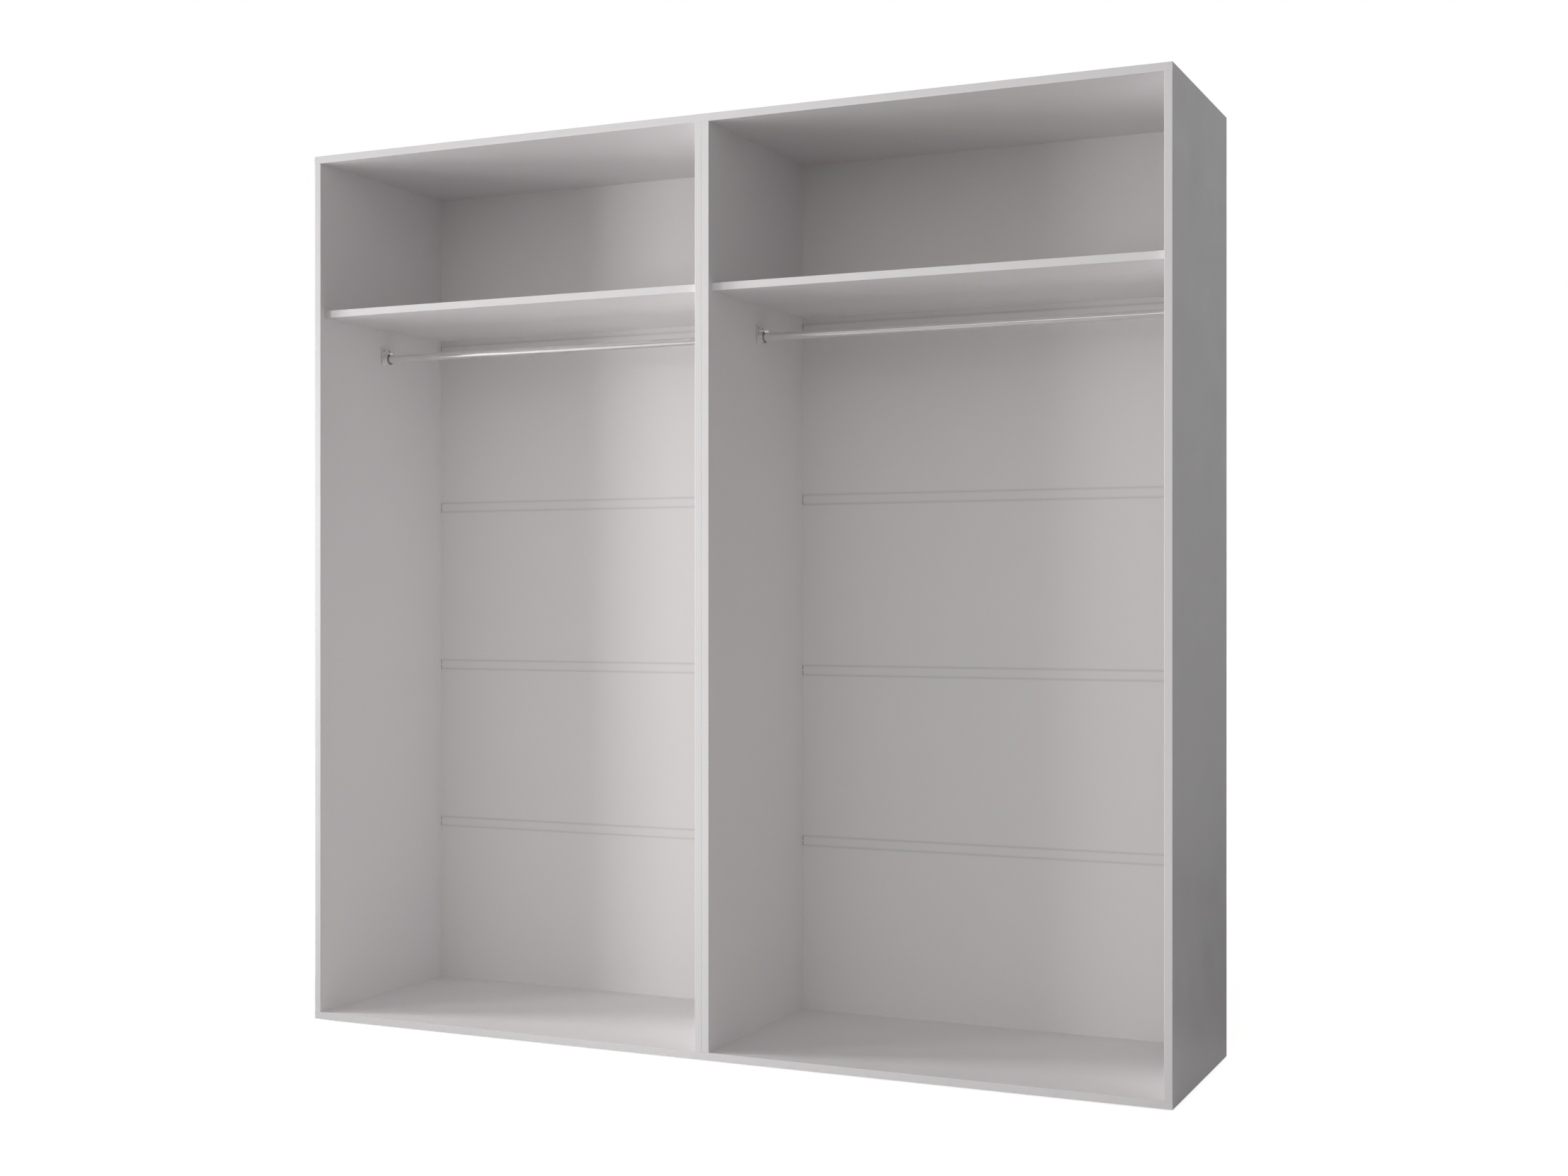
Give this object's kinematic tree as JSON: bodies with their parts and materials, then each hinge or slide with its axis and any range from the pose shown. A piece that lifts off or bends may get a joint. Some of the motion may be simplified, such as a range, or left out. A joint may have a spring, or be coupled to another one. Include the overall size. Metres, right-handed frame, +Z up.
{
  "type": "sliding door wardrobe body",
  "caption": "Tall open wardrobe body of white boards: side-by-side modules, each with a high shelf, a chrome hanging rail and a back of joined sheets, ready for sliding doors.",
  "frame": {"origin": "on the floor, at the middle of the width and of the depth", "axes": "+X to the right along the front as one faces it, +Y towards the back, +Z up"},
  "size_m": [2.2, 0.541, 2.195],
  "materials": {
    "white_board": "satin white melamine on chipboard",
    "edge_band": "satin ABS edge",
    "back_sheet": "painted hardboard, raw brown behind",
    "back_joiner": "satin PVC",
    "rail_chrome": "chromed steel tube",
    "socket_chrome": "chromed die-casting",
    "zinc_steel": "zinc plated",
    "cam_zinc": "bare zinc casting",
    "nail_steel": "bright steel",
    "beech": "raw beech",
    "glide_plastic": "moulded polyethylene"
  },
  "bodies": {
    "carcass": {"left_back_joiner_1": "back_joiner", "left_back_joiner_2": "back_joiner", "left_back_joiner_3": "back_joiner", "left_back_joiner_4": "back_joiner", "left_back_nails": "nail_steel", "left_back_sheet_1": "back_sheet", "left_back_sheet_2": "back_sheet", "left_back_sheet_3": "back_sheet", "left_back_sheet_4": "back_sheet", "left_back_sheet_5": "back_sheet", "left_bottom_edge_band": "edge_band", "left_bottom_panel": "white_board", "left_confirmat_screws": "zinc_steel", "left_divider": "white_board", "left_divider_edge_band": "edge_band", "left_divider_rail_socket": "socket_chrome", "left_dowels": "beech", "left_glides": "glide_plastic", "left_outer_side": "white_board", "left_outer_side_edge_band": "edge_band", "left_outer_side_rail_socket": "socket_chrome", "left_rail_socket_screws": "zinc_steel", "left_shelf": "white_board", "left_shelf_cam_bolts": "zinc_steel", "left_shelf_cams": "cam_zinc", "left_shelf_edge_band": "edge_band", "left_top_edge_band": "edge_band", "left_top_panel": "white_board", "module_screws": "zinc_steel", "right_back_joiner_1": "back_joiner", "right_back_joiner_2": "back_joiner", "right_back_joiner_3": "back_joiner", "right_back_joiner_4": "back_joiner", "right_back_nails": "nail_steel", "right_back_sheet_1": "back_sheet", "right_back_sheet_2": "back_sheet", "right_back_sheet_3": "back_sheet", "right_back_sheet_4": "back_sheet", "right_back_sheet_5": "back_sheet", "right_bottom_edge_band": "edge_band", "right_bottom_panel": "white_board", "right_confirmat_screws": "zinc_steel", "right_divider": "white_board", "right_divider_edge_band": "edge_band", "right_divider_rail_socket": "socket_chrome", "right_dowels": "beech", "right_glides": "glide_plastic", "right_outer_side": "white_board", "right_outer_side_edge_band": "edge_band", "right_outer_side_rail_socket": "socket_chrome", "right_rail_socket_screws": "zinc_steel", "right_shelf": "white_board", "right_shelf_cam_bolts": "zinc_steel", "right_shelf_cams": "cam_zinc", "right_shelf_edge_band": "edge_band", "right_top_edge_band": "edge_band", "right_top_panel": "white_board"},
    "left_rail": {"left_hanging_rail": "rail_chrome"},
    "right_rail": {"right_hanging_rail": "rail_chrome"}
  },
  "joints": [
    {"name": "left_rail_turn", "type": "hinge", "parent": "carcass", "child": "left_rail", "pos_m": [-0.55, 0.007, 1.709], "axis": [1, 0, 0], "continuous": true},
    {"name": "right_rail_turn", "type": "hinge", "parent": "carcass", "child": "right_rail", "pos_m": [0.55, 0.007, 1.709], "axis": [1, 0, 0], "continuous": true}
  ]
}
